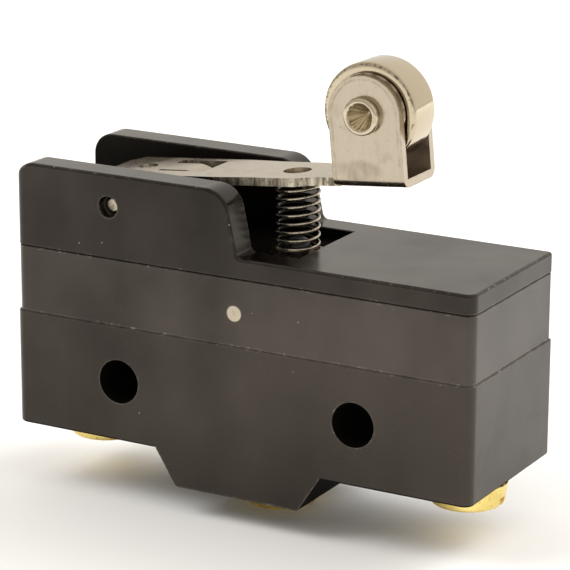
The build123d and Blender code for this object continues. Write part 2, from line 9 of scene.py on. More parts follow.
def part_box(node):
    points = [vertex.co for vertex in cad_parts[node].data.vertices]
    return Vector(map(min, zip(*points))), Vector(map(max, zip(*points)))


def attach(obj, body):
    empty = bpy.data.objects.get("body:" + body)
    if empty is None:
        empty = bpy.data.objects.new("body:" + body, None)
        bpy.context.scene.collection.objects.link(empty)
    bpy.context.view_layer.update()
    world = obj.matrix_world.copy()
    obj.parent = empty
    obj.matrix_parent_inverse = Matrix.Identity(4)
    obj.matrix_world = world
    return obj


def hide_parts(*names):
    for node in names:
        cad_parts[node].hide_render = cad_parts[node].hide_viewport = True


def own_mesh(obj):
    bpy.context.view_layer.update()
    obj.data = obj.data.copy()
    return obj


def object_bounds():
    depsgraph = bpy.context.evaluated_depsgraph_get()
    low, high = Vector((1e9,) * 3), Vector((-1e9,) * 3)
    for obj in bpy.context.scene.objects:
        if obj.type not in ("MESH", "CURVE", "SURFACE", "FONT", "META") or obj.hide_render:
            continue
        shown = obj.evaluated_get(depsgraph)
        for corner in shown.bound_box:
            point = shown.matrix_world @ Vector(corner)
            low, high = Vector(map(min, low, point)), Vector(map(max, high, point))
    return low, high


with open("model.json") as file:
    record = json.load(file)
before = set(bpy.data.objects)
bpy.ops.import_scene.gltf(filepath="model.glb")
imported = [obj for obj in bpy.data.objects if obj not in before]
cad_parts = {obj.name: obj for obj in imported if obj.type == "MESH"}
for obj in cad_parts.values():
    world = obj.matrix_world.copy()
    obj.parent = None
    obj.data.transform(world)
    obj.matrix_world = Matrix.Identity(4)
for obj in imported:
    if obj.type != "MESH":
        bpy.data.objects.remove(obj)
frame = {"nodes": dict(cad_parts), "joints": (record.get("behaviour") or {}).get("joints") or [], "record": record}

MM = 0.001
nodes = frame["nodes"]
cad_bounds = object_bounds()


# ---------------------------------------------------------------------------------------------------
# Mouldings: base, cover and lever bracket, pressed in a glossy dark thermoset. The tool's polish shows
# as a slow ripple in the gloss, with small light specks of filler and worn, paler outer edges that also
# carry a painted highlight. Bores, the lever's channel and undersides get painted shade, and the bracket
# is painted darker than the case.

def add_node(tree, kind, inputs=None, **settings):
    """A shader node with its settings, and its inputs set to values or linked to other sockets."""
    made = tree.nodes.new(kind)
    for name, value in settings.items():
        setattr(made, name, value)
    for name, value in (inputs or {}).items():
        socket = made.inputs[name]
        if isinstance(value, bpy.types.NodeSocket):
            tree.links.new(value, socket)
        else:
            socket.default_value = value
    return made


def start_group(name, inputs, outputs):
    """An empty shader group with its sockets; gives the tree, its input node and its output node."""
    tree = bpy.data.node_groups.new(name, "ShaderNodeTree")
    for label, kind, value in inputs:
        tree.interface.new_socket(label, in_out="INPUT", socket_type=kind).default_value = value
    for label, kind in outputs:
        tree.interface.new_socket(label, in_out="OUTPUT", socket_type=kind)
    return tree, tree.nodes.new("NodeGroupInput"), tree.nodes.new("NodeGroupOutput")


def use_group(tree, group, **inputs):
    """The group placed in a material, with this material's own values."""
    made = add_node(tree, "ShaderNodeGroup", node_tree=group)
    for name, value in inputs.items():
        made.inputs[name.replace("_", " ").capitalize()].default_value = value
    return made


def blend_colours(tree, factor, first, second):
    """Colour between first and second by factor."""
    mixed = add_node(tree, "ShaderNodeMix", data_type="RGBA")
    for socket, value in ((mixed.inputs[0], factor), (mixed.inputs[6], first), (mixed.inputs[7], second)):
        if isinstance(value, bpy.types.NodeSocket):
            tree.links.new(value, socket)
        else:
            socket.default_value = value
    return mixed.outputs[2]


def span(tree, value, low, high, new_low, new_high):
    """Value carried from one span to another, held at its ends."""
    carried = add_node(tree, "ShaderNodeMapRange", {
        "Value": value, "From Min": low, "From Max": high, "To Min": new_low, "To Max": new_high})
    return carried.outputs["Result"]


def multiply(tree, first, second):
    """Product of two values."""
    product = add_node(tree, "ShaderNodeMath", {0: first, 1: second}, operation="MULTIPLY")
    return product.outputs[0]


def add_values(tree, first, second):
    """Sum of two values."""
    total = add_node(tree, "ShaderNodeMath", {0: first, 1: second}, operation="ADD")
    return total.outputs[0]


def object_noise(tree, scale, stretch=(1, 1, 1), detail=4, rough=0.55):
    """Noise in the piece's own frame, stretched along its axes."""
    place = add_node(tree, "ShaderNodeTexCoord")
    moved = add_node(tree, "ShaderNodeMapping", {"Vector": place.outputs["Object"], "Scale": stretch})
    made = add_node(tree, "ShaderNodeTexNoise", {
        "Vector": moved.outputs["Vector"], "Scale": scale, "Detail": detail, "Roughness": rough})
    return made.outputs["Fac"]


def edge_wear_group():
    """Mask of outer edges rubbed in handling, broken up by noise."""
    tree, given, result = start_group(
        "edge_wear",
        [("Width", "NodeSocketFloat", 0.3 * MM), ("Breakup", "NodeSocketFloat", 900.0)],
        [("Mask", "NodeSocketFloat")])
    true_normal = add_node(tree, "ShaderNodeNewGeometry").outputs["Normal"]
    rounded = add_node(tree, "ShaderNodeBevel", {"Radius": given.outputs["Width"]}, samples=4)
    facing = add_node(tree, "ShaderNodeVectorMath", {0: true_normal, 1: rounded.outputs["Normal"]},
                      operation="DOT_PRODUCT")
    edge = span(tree, facing.outputs["Value"], 0.995, 0.86, 0.0, 1.0)
    place = add_node(tree, "ShaderNodeTexCoord")
    patches = add_node(tree, "ShaderNodeTexNoise", {
        "Vector": place.outputs["Object"], "Scale": given.outputs["Breakup"], "Detail": 5.0})
    broken = span(tree, patches.outputs["Fac"], 0.35, 0.65, 0.15, 1.0)
    tree.links.new(multiply(tree, edge, broken), result.inputs["Mask"])
    return tree


def moulded_skin_group():
    """Skin of a pressed moulding: slow tone changes, filler specks, gloss patches and ripple."""
    tree, given, result = start_group(
        "moulded_skin",
        [("Speck size", "NodeSocketFloat", 0.03)],
        [("Tone", "NodeSocketFloat"), ("Specks", "NodeSocketFloat"), ("Gloss", "NodeSocketFloat"),
         ("Height", "NodeSocketFloat")])
    place = add_node(tree, "ShaderNodeTexCoord").outputs["Object"]
    cells = add_node(tree, "ShaderNodeTexVoronoi", {"Vector": place, "Scale": 420.0})
    near = add_node(tree, "ShaderNodeMath", {0: cells.outputs["Distance"], 1: given.outputs["Speck size"]},
                    operation="LESS_THAN")
    chance = add_node(tree, "ShaderNodeSeparateColor", {"Color": cells.outputs["Color"]})
    chosen = add_node(tree, "ShaderNodeMath", {0: chance.outputs["Red"], 1: 0.55}, operation="GREATER_THAN")
    tree.links.new(multiply(tree, near.outputs[0], chosen.outputs[0]), result.inputs["Specks"])
    tree.links.new(object_noise(tree, 55.0, detail=3), result.inputs["Tone"])
    tree.links.new(object_noise(tree, 160.0, (1, 1, 1.6), detail=6), result.inputs["Gloss"])
    ripple = object_noise(tree, 130.0, detail=1)
    pores = object_noise(tree, 6500.0, detail=2)
    height = add_values(tree, ripple, multiply(tree, pores, 0.05))
    tree.links.new(height, result.inputs["Height"])
    return tree


def start_material(name):
    """A node material with one Principled shader; gives the material, its tree and the shader."""
    made = bpy.data.materials.new(name)
    made.use_nodes = True
    return made, made.node_tree, made.node_tree.nodes["Principled BSDF"]


def set_height(tree, shader, height, strength, distance):
    """Relief on the shader's normal, from a height between 0 and 1 and its depth in metres."""
    relief = add_node(tree, "ShaderNodeBump", {"Height": height, "Strength": strength, "Distance": distance})
    tree.links.new(relief.outputs["Normal"], shader.inputs["Normal"])


def dress(node, material):
    """Gives a CAD node this material on every slot."""
    slots = nodes[node].data.materials
    slots.clear()
    slots.append(material)


edge_wear = edge_wear_group()
moulded_skin = moulded_skin_group()


def painted_shade_mask(tree):
    """Mask of painted shade in the bores, the lever's channel and on the undersides, which are also made rougher
    and less reflective.
    """
    place = add_node(tree, "ShaderNodeTexCoord").outputs["Object"]
    parts = add_node(tree, "ShaderNodeSeparateXYZ", {"Vector": place})
    beside = add_node(tree, "ShaderNodeMath", {0: parts.outputs["X"]}, operation="ABSOLUTE").outputs[0]
    off_axis = add_values(tree, beside, -hole_spacing / 2)
    from_axis = add_node(tree, "ShaderNodeCombineXYZ", {"X": off_axis, "Z": parts.outputs["Z"]})
    radius = add_node(tree, "ShaderNodeVectorMath", {0: from_axis.outputs[0]}, operation="LENGTH")
    bore = span(tree, radius.outputs["Value"], hole_r + 0.04 * MM, hole_r + 0.01 * MM, 0.0, 1.0)
    sideways = add_node(tree, "ShaderNodeMath", {0: parts.outputs["Y"]}, operation="ABSOLUTE").outputs[0]
    between = span(tree, sideways, channel_half + 0.04 * MM, channel_half + 0.01 * MM, 0.0, 1.0)
    above = span(tree, parts.outputs["Z"], channel_floor - 0.2 * MM, channel_floor - 0.1 * MM, 0.0, 1.0)
    below = span(tree, parts.outputs["Z"], plate_top - 0.2 * MM, ear_top - 0.3 * MM, 1.0, 0.75)
    short = span(tree, parts.outputs["X"], pocket_end - 0.01 * MM, pocket_end + 0.04 * MM, 1.0, 0.0)
    channel = multiply(tree, multiply(tree, between, above), multiply(tree, below, short))
    hidden = add_node(tree, "ShaderNodeMath", {0: bore, 1: channel}, operation="MAXIMUM").outputs[0]
    level = add_node(tree, "ShaderNodeSeparateXYZ", {
        "Vector": add_node(tree, "ShaderNodeNewGeometry").outputs["True Normal"]}).outputs["Z"]
    underside = span(tree, level, -0.15, -0.4, 0.0, 0.95)
    return add_node(tree, "ShaderNodeMath", {0: hidden, 1: underside}, operation="MAXIMUM").outputs[0]


def moulding_material(name, dark, light, smooth, rough, reflection):
    """The thermoset from one moulding's spans of colour, roughness and reflection; a darker span paints shade on
    that moulding.
    """
    made, tree, shader = start_material(name)
    skin = use_group(tree, moulded_skin, speck_size=0.03)
    worn = use_group(tree, edge_wear, width=0.35 * MM, breakup=700.0)
    # Painted shade: the bores, the lever's channel and the undersides turn near black, less reflective and
    # rougher.
    dull = painted_shade_mask(tree)
    tone = blend_colours(tree, span(tree, skin.outputs["Tone"], 0.3, 0.7, 0.0, 1.0), dark, light)
    # Outer edges: paler from wear and partly a painted highlight, with small bright painted glints on them.
    rubbed = blend_colours(tree, multiply(tree, worn.outputs["Mask"], 0.6), tone, (0.15, 0.13, 0.11, 1))
    worn_edge_glints = span(tree, object_noise(tree, 2300.0, detail=3), 0.60, 0.66, 0.0, 0.8)
    rubbed = blend_colours(tree, multiply(tree, worn.outputs["Mask"], worn_edge_glints), rubbed, (0.55, 0.52, 0.46, 1))
    specked = blend_colours(tree, multiply(tree, skin.outputs["Specks"], 0.7), rubbed, (0.34, 0.31, 0.26, 1))
    # Painted shade: near-black colour where the shade mask is set.
    bare = blend_colours(tree, dull, specked, (0.003, 0.0025, 0.002, 1))
    tree.links.new(bare, shader.inputs["Base Color"])
    gloss = span(tree, skin.outputs["Gloss"], 0.3, 0.7, smooth, rough)
    gloss = add_values(tree, gloss, multiply(tree, worn.outputs["Mask"], 0.1))
    tree.links.new(add_values(tree, gloss, multiply(tree, dull, 0.6)), shader.inputs["Roughness"])
    patchy = span(tree, object_noise(tree, 95.0, (1, 1, 0.6), detail=4), 0.32, 0.66, *reflection)
    tree.links.new(multiply(tree, patchy, span(tree, dull, 0.0, 1.0, 1.0, 0.12)),
                   shader.inputs["Specular IOR Level"])
    shader.inputs["IOR"].default_value = 1.51
    shader.inputs["Specular Tint"].default_value = (1.0, 0.88, 0.78, 1)
    set_height(tree, shader, skin.outputs["Height"], 0.5, 0.03 * MM)
    return made


holes = next(m for m in frame["record"]["mounts"] if m["name"] == "mounting_holes")["dims"]
hole_spacing = holes["spacing_x_mm"] * MM
hole_r = holes["hole_r_mm"] * MM
channel_half = 5.45 * MM       # between the bracket's ears
channel_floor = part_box("spring_seat")[1].z - 0.05 * MM
pocket_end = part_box("return_spring")[1].x + 0.85 * MM
plate_top = 14.05 * MM         # top of the bracket's plate, above the holes
ear_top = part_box("lever_bracket")[1].z
dress("base_housing", moulding_material(
    "base_moulding", (0.0075, 0.0056, 0.0043, 1), (0.030, 0.0250, 0.0200, 1), 0.18, 0.32, (0.34, 0.50)))
dress("cover_housing", moulding_material(
    "cover_moulding", (0.0045, 0.0032, 0.0024, 1), (0.040, 0.0340, 0.0290, 1), 0.16, 0.29, (0.34, 0.64)))
# Painted shade: the bracket gets a darker colour span and weaker reflection than the base and cover.
dress("lever_bracket", moulding_material(
    "bracket_moulding", (0.0012, 0.0008, 0.0006, 1), (0.013, 0.0100, 0.0080, 1), 0.12, 0.26, (0.26, 0.46)))


# ---------------------------------------------------------------------------------------------------
# Plunger: a dark moulded stem with a domed top, worn to a soft gloss where it slides in the cover.
# It shows inside the lowest turns of the spring.

plunger_plastic, tree, shader = start_material("plunger_plastic")
skin = use_group(tree, moulded_skin, speck_size=0.015)
tone = blend_colours(tree, skin.outputs["Tone"], (0.008, 0.0075, 0.007, 1), (0.02, 0.018, 0.017, 1))
tree.links.new(tone, shader.inputs["Base Color"])
tree.links.new(span(tree, skin.outputs["Gloss"], 0.3, 0.7, 0.22, 0.42), shader.inputs["Roughness"])
set_height(tree, shader, skin.outputs["Height"], 0.4, 0.02 * MM)
dress("plunger", plunger_plastic)


# ---------------------------------------------------------------------------------------------------
# Lever: blanked and bent from steel strip, then nickel plated with a warm satin face. Its sheared edges
# keep the tool's upright drag lines, with torn, dark patches. It turns on the hinge pin.

def plated_face_group():
    """Satin plating: faint stains, fine rubbing lines along one direction and small pits."""
    tree, given, result = start_group(
        "plated_face",
        [("Stain size", "NodeSocketFloat", 260.0), ("Line size", "NodeSocketFloat", 900.0)],
        [("Stain", "NodeSocketFloat"), ("Lines", "NodeSocketFloat"), ("Pits", "NodeSocketFloat"),
         ("Height", "NodeSocketFloat")])
    place = add_node(tree, "ShaderNodeTexCoord").outputs["Object"]
    stains = add_node(tree, "ShaderNodeTexNoise", {
        "Vector": place, "Scale": given.outputs["Stain size"], "Detail": 7.0, "Roughness": 0.62})
    spread = span(tree, stains.outputs["Fac"], 0.52, 0.74, 0.0, 1.0)
    along = add_node(tree, "ShaderNodeMapping", {"Vector": place, "Scale": (7, 7, 0.7)})
    lines = add_node(tree, "ShaderNodeTexNoise", {
        "Vector": along.outputs["Vector"], "Scale": given.outputs["Line size"], "Detail": 3.0})
    cells = add_node(tree, "ShaderNodeTexVoronoi", {"Vector": place, "Scale": 1300.0})
    near = add_node(tree, "ShaderNodeMath", {0: cells.outputs["Distance"], 1: 0.055}, operation="LESS_THAN")
    chance = add_node(tree, "ShaderNodeSeparateColor", {"Color": cells.outputs["Color"]})
    chosen = add_node(tree, "ShaderNodeMath", {0: chance.outputs["Green"], 1: 0.8}, operation="GREATER_THAN")
    pits = multiply(tree, near.outputs[0], chosen.outputs[0])
    grain = object_noise(tree, 4200.0, detail=3)
    height = add_values(tree, multiply(tree, lines.outputs["Fac"], 0.5), multiply(tree, grain, 0.35))
    height = add_values(tree, height, multiply(tree, pits, -1.0))
    tree.links.new(spread, result.inputs["Stain"])
    tree.links.new(lines.outputs["Fac"], result.inputs["Lines"])
    tree.links.new(pits, result.inputs["Pits"])
    tree.links.new(height, result.inputs["Height"])
    return tree


def plated_material(name, bright, stained, smooth, rough, relief, stain_size, line_size, edge_dulling=0.0):
    """A nickel-plated finish, from its clean and stained colours and its span of roughness."""
    made, tree, shader = start_material(name)
    face = use_group(tree, plated_face, stain_size=stain_size, line_size=line_size)
    tone = blend_colours(tree, face.outputs["Stain"], bright, stained)
    pitted = blend_colours(tree, face.outputs["Pits"], tone, (0.10, 0.085, 0.06, 1))
    if edge_dulling:
        worn = use_group(tree, edge_wear, width=0.22 * MM, breakup=1800.0)
        pitted = blend_colours(tree, multiply(tree, worn.outputs["Mask"], edge_dulling), pitted,
                               (0.16, 0.125, 0.08, 1))
    tree.links.new(pitted, shader.inputs["Base Color"])
    tree.links.new(span(tree, face.outputs["Lines"], 0.3, 0.7, smooth, rough), shader.inputs["Roughness"])
    shader.inputs["Metallic"].default_value = 1.0
    set_height(tree, shader, face.outputs["Height"], 0.5, relief)
    return made


def detailed_copy(name, node, bevel, segments=3, angle=35):
    """A finer piece on a CAD node's shape: welded, cleaned of flat joints, and its edges rolled over."""
    mesh = bpy.data.meshes.new(name)
    build = bmesh.new()
    build.from_mesh(nodes[node].data)
    bmesh.ops.remove_doubles(build, verts=build.verts, dist=0.001 * MM)
    bmesh.ops.dissolve_limit(build, angle_limit=radians(0.5), verts=build.verts, edges=build.edges)
    build.to_mesh(mesh)
    build.free()
    made = bpy.data.objects.new(name, mesh)
    bpy.context.scene.collection.objects.link(made)
    rolled = made.modifiers.new("rolled_edges", "BEVEL")
    rolled.width = bevel
    rolled.segments = segments
    rolled.limit_method = "ANGLE"
    rolled.angle_limit = radians(angle)
    rolled.use_clamp_overlap = True
    rolled.miter_outer = "MITER_ARC"
    for face in mesh.polygons:
        face.use_smooth = True
    weighted = made.modifiers.new("weighted_normals", "WEIGHTED_NORMAL")
    weighted.weight = 100
    weighted.keep_sharp = True
    depsgraph = bpy.context.evaluated_depsgraph_get()
    finished = bpy.data.meshes.new_from_object(made.evaluated_get(depsgraph))
    made.modifiers.clear()
    made.data = finished
    return made


def smooth_by_angle(piece, angle=35):
    """Smooth shading, broken only at edges sharper than the angle."""
    build = bmesh.new()
    build.from_mesh(piece.data)
    for face in build.faces:
        face.smooth = True
    for edge in build.edges:
        if len(edge.link_faces) == 2:
            edge.smooth = edge.calc_face_angle() < radians(angle)
    build.to_mesh(piece.data)
    build.free()


joint = {j["name"]: j for j in frame["joints"]}
hinge = Vector(joint["lever_pivot"]["pos_m"])
axle = Vector(joint["roller_spin"]["pos_m"])
lever_tilt = radians(5.6)
along = Vector((cos(lever_tilt), 0, sin(lever_tilt)))
upward = Vector((-sin(lever_tilt), 0, cos(lever_tilt)))

plated_face = plated_face_group()
satin_nickel = plated_material("satin_nickel", (0.47, 0.408, 0.325, 1), (0.345, 0.288, 0.215, 1),
                               0.17, 0.29, 0.01 * MM, 300.0, 1100.0, edge_dulling=0.75)


def painted_tail_shade(tree, shader, place):
    """Paints shade on the lever's tail as a dark reflection with small painted glints, more so at its back, dulls
    its metal there, and returns the new colour.
    """
    from_hinge = add_node(tree, "ShaderNodeVectorMath", {0: place, 1: hinge}, operation="SUBTRACT").outputs[0]
    reach = add_node(tree, "ShaderNodeVectorMath", {0: from_hinge, 1: along}, operation="DOT_PRODUCT")
    depth = add_node(tree, "ShaderNodeSeparateXYZ", {"Vector": from_hinge}).outputs["Y"]
    past_window = add_values(tree, reach.outputs["Value"], multiply(tree, depth, -0.5))
    tail = span(tree, past_window, 1.0 * MM, -1.8 * MM, 0.0, 0.95)
    speckle = object_noise(tree, 4200.0, detail=6, rough=0.8)
    tail_shade_colour = blend_colours(tree, span(tree, speckle, 0.58, 0.72, 0.0, 0.8),
                              (0.02, 0.016, 0.012, 1), (0.40, 0.36, 0.28, 1))
    tree.links.new(span(tree, tail, 0.0, 0.9, 1.0, 0.08), shader.inputs["Metallic"])
    shader.inputs["Specular IOR Level"].default_value = 0.2
    return blend_colours(tree, tail, shader.inputs["Base Color"].links[0].from_socket, tail_shade_colour)


def pressed_line(tree, aside, over):
    """Mask of the faint, broken line that the bending tool left just inside a cheek's outline."""
    over_axle = add_node(tree, "ShaderNodeMath", {0: over, 1: 0.0}, operation="MAXIMUM").outputs[0]
    in_cheek = add_node(tree, "ShaderNodeCombineXYZ", {"X": aside, "Z": over_axle}).outputs[0]
    from_middle = add_node(tree, "ShaderNodeVectorMath", {0: in_cheek}, operation="LENGTH").outputs["Value"]
    ragged = multiply(tree, add_values(tree, object_noise(tree, 700.0, detail=5), -0.5), 0.4 * MM)
    from_middle = add_values(tree, from_middle, ragged)
    inner_side = span(tree, from_middle, 3.18 * MM, 3.30 * MM, 0.0, 1.0)
    outer_side = span(tree, from_middle, 3.32 * MM, 3.50 * MM, 1.0, 0.2)
    broken = span(tree, object_noise(tree, 1100.0, detail=3), 0.40, 0.62, 0.1, 0.7)
    return multiply(tree, multiply(tree, inner_side, outer_side), broken)


def smudge(tree, aside, over):
    """Mask of a brushed smudge at the foot of a cheek."""
    smudge_place = add_node(tree, "ShaderNodeCombineXYZ", {
        "X": add_values(tree, aside, 0.9 * MM),
        "Z": multiply(tree, add_values(tree, over, 5.2 * MM), 2.2)}).outputs[0]
    from_smudge = add_node(tree, "ShaderNodeVectorMath", {0: smudge_place}, operation="LENGTH")
    brushed = object_noise(tree, 1300.0, (1, 1, 0.35), detail=6, rough=0.7)
    return multiply(tree, span(tree, from_smudge.outputs["Value"], 1.6 * MM, 2.6 * MM, 1.0, 0.0),
                    span(tree, brushed, 0.40, 0.62, 0.15, 0.75))


tree = satin_nickel.node_tree
shader = tree.nodes["Principled BSDF"]
place = add_node(tree, "ShaderNodeTexCoord").outputs["Object"]
from_axle = add_node(tree, "ShaderNodeVectorMath", {0: place, 1: axle}, operation="SUBTRACT").outputs[0]
aside = add_node(tree, "ShaderNodeVectorMath", {0: from_axle, 1: along},
                 operation="DOT_PRODUCT").outputs["Value"]
over = add_node(tree, "ShaderNodeVectorMath", {0: from_axle, 1: upward},
                operation="DOT_PRODUCT").outputs["Value"]
# Painted shade: the lever's tail carries a painted dark reflection with small painted glints.
plated_tone = painted_tail_shade(tree, shader, place)
plated_tone = blend_colours(tree, pressed_line(tree, aside, over), plated_tone, (0.26, 0.21, 0.145, 1))
plated_tone = blend_colours(tree, smudge(tree, aside, over), plated_tone, (0.30, 0.25, 0.185, 1))
tree.links.new(plated_tone, shader.inputs["Base Color"])

sheared, tree, shader = start_material("sheared_edge")
drag = object_noise(tree, 1500.0, (1.0, 1.0, 0.16), detail=5, rough=0.6)
torn = object_noise(tree, 3200.0, (1.0, 1.0, 0.7), detail=6, rough=0.7)
edge_tone = blend_colours(tree, span(tree, drag, 0.40, 0.60, 0.0, 1.0),
                          (0.16, 0.135, 0.10, 1), (0.66, 0.60, 0.48, 1))
edge_tone = blend_colours(tree, span(tree, torn, 0.56, 0.68, 0.0, 0.85), edge_tone, (0.035, 0.028, 0.02, 1))
tree.links.new(edge_tone, shader.inputs["Base Color"])
tree.links.new(span(tree, torn, 0.3, 0.7, 0.28, 0.62), shader.inputs["Roughness"])
shader.inputs["Metallic"].default_value = 1.0
set_height(tree, shader, add_values(tree, drag, multiply(tree, torn, 0.6)), 0.9, 0.09 * MM)

dark_steel, tree, shader = start_material("dark_inner_steel")
bare = object_noise(tree, 700.0, detail=6)
inner_tone = blend_colours(tree, bare, (0.30, 0.245, 0.20, 1), (0.66, 0.56, 0.46, 1))
tree.links.new(inner_tone, shader.inputs["Base Color"])
tree.links.new(span(tree, bare, 0.3, 0.7, 0.3, 0.5), shader.inputs["Roughness"])
shader.inputs["Metallic"].default_value = 1.0
set_height(tree, shader, bare, 0.5, 0.02 * MM)

sheet_low, sheet_high = 1.39 * MM, 2.15 * MM     # just inside the sheet's faces, up from the hinge
tail_end, neck_end = -4.5 * MM, 21.7 * MM        # its sheared edges lie between these, along the lever
fork_start = 21.3 * MM
cheek_inner = 2.35 * MM
dimple_reach, dimple_r = 16.0 * MM, 1.6 * MM
dimple_low, dimple_high = 1.5 * MM, 1.9 * MM
lever = detailed_copy("roller_lever", "lever", 0.07 * MM)
lever.data.materials.append(satin_nickel)
lever.data.materials.append(sheared)
lever.data.materials.append(dark_steel)
SHEARED, INNER = 1, 2
for face in lever.data.polygons:
    middle = face.center - hinge
    reach = middle.dot(along)
    rise = middle.dot(upward)
    upright = abs(face.normal.dot(upward)) < 0.4
    in_dimple = Vector((reach - dimple_reach, middle.y)).length < dimple_r
    dimple_floor = in_dimple and dimple_low < rise < dimple_high and not upright
    sheet_edge = sheet_low < rise < sheet_high and upright and tail_end < reach < neck_end and not in_dimple
    in_fork = reach > fork_start and abs(middle.y) < cheek_inner + 0.05 * MM and rise > sheet_high - 0.05 * MM
    if in_fork and abs(face.normal.dot(along)) < 0.5:
        face.material_index = INNER
    elif dimple_floor or sheet_edge:
        face.material_index = SHEARED
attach(lever, "lever")
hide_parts("lever")


# ---------------------------------------------------------------------------------------------------
# Roller and its axle: a polished steel roller with a raised hub, turning on a hollow rivet whose ends
# are flared over the fork's cheeks. Both are turned pieces, nickel plated.

def rounded_outline(points, radius, steps=4):
    """An outline with each corner rounded, as far as its shorter side allows."""
    rounded = []
    for i, corner in enumerate(points):
        here = Vector(corner)
        before = Vector(points[i - 1])
        after = Vector(points[(i + 1) % len(points)])
        cut = min(radius, (before - here).length * 0.45, (after - here).length * 0.45)
        start = here + (before - here).normalized() * cut
        end = here + (after - here).normalized() * cut
        for step in range(steps + 1):
            t = step / steps
            rounded.append((1 - t) ** 2 * start + 2 * t * (1 - t) * here + t * t * end)
    return rounded


def turned(name, outline, origin, axis, turns=128):
    """A turned piece: a closed outline of (radius, height) swept round an axis through the origin."""
    side = Vector((1, 0, 0)) if abs(axis.x) < 0.9 else Vector((0, 1, 0))
    first = axis.cross(side).normalized()
    second = axis.cross(first)
    build = bmesh.new()
    rings = []
    for radius, height in outline:
        if radius < 0.0001 * MM:
            rings.append([build.verts.new(origin + axis * height)] * turns)
            continue
        ring = []
        for i in range(turns):
            angle = 2 * pi * i / turns
            ring.append(build.verts.new(
                origin + axis * height + (first * cos(angle) + second * sin(angle)) * radius))
        rings.append(ring)
    for k, ring in enumerate(rings):
        after = rings[(k + 1) % len(rings)]
        for i in range(turns):
            j = (i + 1) % turns
            corners = []
            for vertex in (ring[i], ring[j], after[j], after[i]):
                if vertex not in corners:
                    corners.append(vertex)
            if len(corners) > 2:
                build.faces.new(corners)
    bmesh.ops.recalc_face_normals(build, faces=build.faces)
    mesh = bpy.data.meshes.new(name)
    build.to_mesh(mesh)
    build.free()
    made = bpy.data.objects.new(name, mesh)
    bpy.context.scene.collection.objects.link(made)
    smooth_by_angle(made)
    return made


across = Vector((0, 1, 0))
polished_nickel = plated_material("polished_nickel", (0.53, 0.455, 0.335, 1), (0.46, 0.38, 0.265, 1),
                                  0.09, 0.15, 0.003 * MM, 140.0, 500.0)
bright_rivet = plated_material("bright_rivet", (0.58, 0.51, 0.39, 1), (0.34, 0.28, 0.19, 1),
                               0.12, 0.22, 0.01 * MM, 700.0, 900.0)

tree = polished_nickel.node_tree
shader = tree.nodes["Principled BSDF"]
place = add_node(tree, "ShaderNodeTexCoord").outputs["Object"]
from_axle = add_node(tree, "ShaderNodeVectorMath", {0: place, 1: axle}, operation="SUBTRACT").outputs[0]
flat = add_node(tree, "ShaderNodeVectorMath", {0: from_axle, 1: (1, 0, 1)}, operation="MULTIPLY").outputs[0]
turned_r = add_node(tree, "ShaderNodeVectorMath", {0: flat}, operation="LENGTH").outputs["Value"]
glints = object_noise(tree, 1500.0, detail=2)
# Painted reflection: a dark band round the roller's hub, broken by painted glints.
hub_dark_reflection = multiply(tree, span(tree, turned_r, 4.02 * MM, 3.75 * MM, 0.0, 1.0),
                     span(tree, glints, 0.42, 0.62, 0.9, 0.2))
# Painted reflection: dark patches in a ring at the outer edge of the roller's side.
rim = multiply(tree, span(tree, turned_r, 4.36 * MM, 4.46 * MM, 0.0, 1.0),
               span(tree, turned_r, 4.66 * MM, 4.60 * MM, 0.0, 1.0))
rim_dark_reflection = multiply(tree, rim, span(tree, object_noise(tree, 2600.0, detail=2), 0.52, 0.60, 0.0, 0.75))
side_tone = shader.inputs["Base Color"].links[0].from_socket
side_tone = blend_colours(tree, hub_dark_reflection, side_tone, (0.17, 0.125, 0.08, 1))
side_tone = blend_colours(tree, rim_dark_reflection, side_tone, (0.10, 0.075, 0.05, 1))
tree.links.new(side_tone, shader.inputs["Base Color"])

roller_low, roller_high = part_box("roller")
tread_r = (roller_high.z - roller_low.z) / 2
hub_half = (roller_high.y - roller_low.y) / 2
hub_step = 0.2 * MM
tread_half = hub_half - hub_step
bore_r, hub_top_r, hub_foot_r = 1.25 * MM, 3.4 * MM, 3.7 * MM
lip_r, lip = 3.95 * MM, 0.04 * MM
roller = turned("roller_tread", rounded_outline([
    (bore_r, -hub_half), (hub_top_r, -hub_half), (hub_foot_r, -tread_half), (lip_r, -tread_half - lip),
    (tread_r, -tread_half), (tread_r, tread_half), (lip_r, tread_half + lip), (hub_foot_r, tread_half),
    (hub_top_r, hub_half), (bore_r, hub_half)], 0.3 * MM), axle, across, 160)
roller.data.materials.append(polished_nickel)
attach(roller, "roller")
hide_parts("roller")

axle_low, axle_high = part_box("roller_axle")
axle_half = (axle_high.y - axle_low.y) / 2
flare_r = (axle_high.z - axle_low.z) / 2
cheek_face = 3.15 * MM
flare_foot = cheek_face + 0.01 * MM
half_rivet = [
    (0.0, axle_half - 2.1 * MM), (0.15 * MM, axle_half - 2.05 * MM), (1.12 * MM, axle_half - 0.52 * MM),
    (1.26 * MM, axle_half - 0.1 * MM), (1.42 * MM, axle_half), (flare_r - 0.12 * MM, axle_half - 0.08 * MM),
    (flare_r, axle_half - 0.4 * MM), (flare_r - 0.22 * MM, flare_foot), (1.2 * MM, flare_foot)]
rivet_outline = [(r, h) for r, h in half_rivet] + [(r, -h) for r, h in reversed(half_rivet)]
rivet = turned("axle_rivet", rounded_outline(rivet_outline, 0.12 * MM), axle, across, 96)
cone_r, cone_depth = 1.3 * MM, 1.9 * MM
for vertex in rivet.data.vertices:
    spoke = Vector((vertex.co.x - axle.x, 0, vertex.co.z - axle.z))
    if spoke.length < cone_r and abs(vertex.co.y) > axle_half - cone_depth:
        chatter = noise.noise(spoke.normalized() * 4.5 + Vector((0, 0.7 if vertex.co.y > 0 else 2.9, 0)))
        vertex.co -= spoke * 0.13 * chatter
    elif abs(vertex.co.y) > cheek_face:
        vertex.co -= spoke * 0.018 * (1 + noise.noise(vertex.co * 2600))
rivet.data.materials.append(bright_rivet)
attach(rivet, "lever")
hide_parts("roller_axle")
